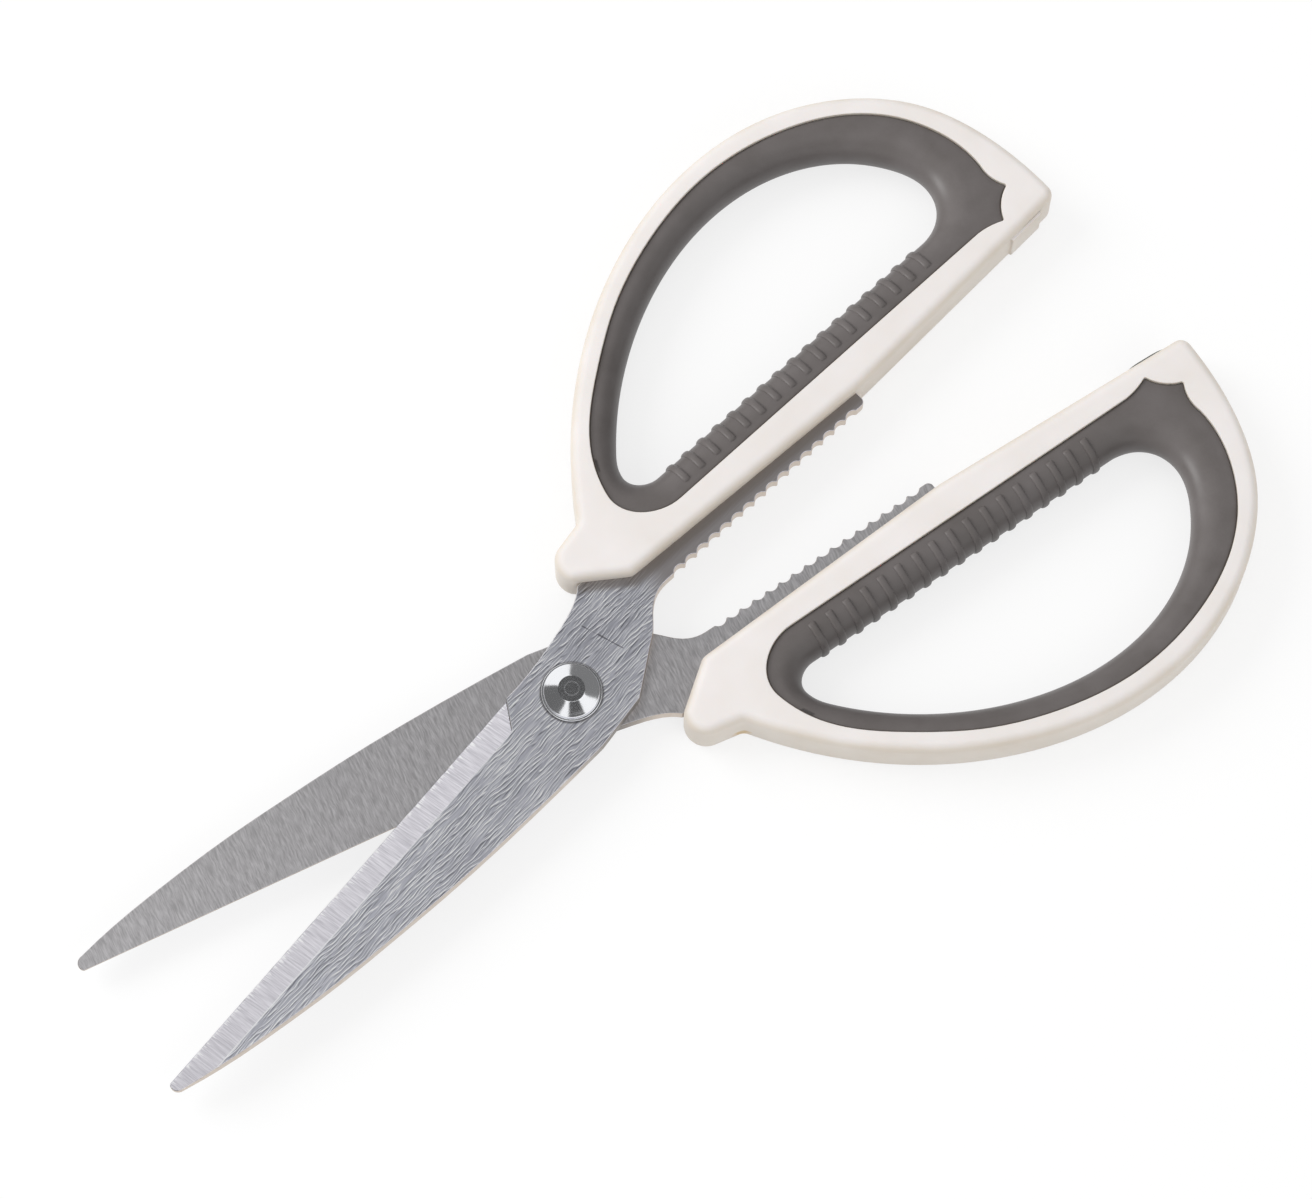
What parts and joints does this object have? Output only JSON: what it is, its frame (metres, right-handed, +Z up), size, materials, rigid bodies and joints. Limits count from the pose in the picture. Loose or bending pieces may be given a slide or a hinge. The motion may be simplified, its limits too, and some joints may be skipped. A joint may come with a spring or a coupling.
{
  "type": "kitchen shears",
  "caption": "Shears with stout pointed blades on one rivet, toothed jaw strips between the handles and D-shaped hard plastic loops with ribbed rubber grips.",
  "frame": {"origin": "middle of the shears' length and width at the flat underside that lies on the table, in the pictured opening", "axes": "+X from the blade tips to the handles, +Y towards the loop of the front half, +Z up, along the pivot rivet to its domed head"},
  "size_m": [0.2032, 0.1158, 0.0096],
  "materials": {
    "blade_steel": "ground lengthwise on the flats, cross-ground on the bevel",
    "polished_steel": "polished, domed head with a flat centre",
    "cream_plastic": "moulded, soft gloss",
    "grey_rubber": "moulded soft grip, satin",
    "bumper_rubber": "matt"
  },
  "bodies": {
    "back_half": {"back_blade": "blade_steel", "back_handle": "cream_plastic", "back_grip": "grey_rubber", "stop_bumper": "bumper_rubber", "pivot_rivet": "polished_steel", "rivet_washer": "polished_steel", "rivet_burr": "polished_steel"},
    "front_half": {"front_blade": "blade_steel", "front_handle": "cream_plastic", "front_grip": "grey_rubber"}
  },
  "joints": [
    {"name": "pivot", "type": "hinge", "parent": "back_half", "child": "front_half", "pos_m": [-0.0132, 0, 0.0048], "axis": [0, 0, 1], "range_deg": [-15.2, 75]}
  ]
}
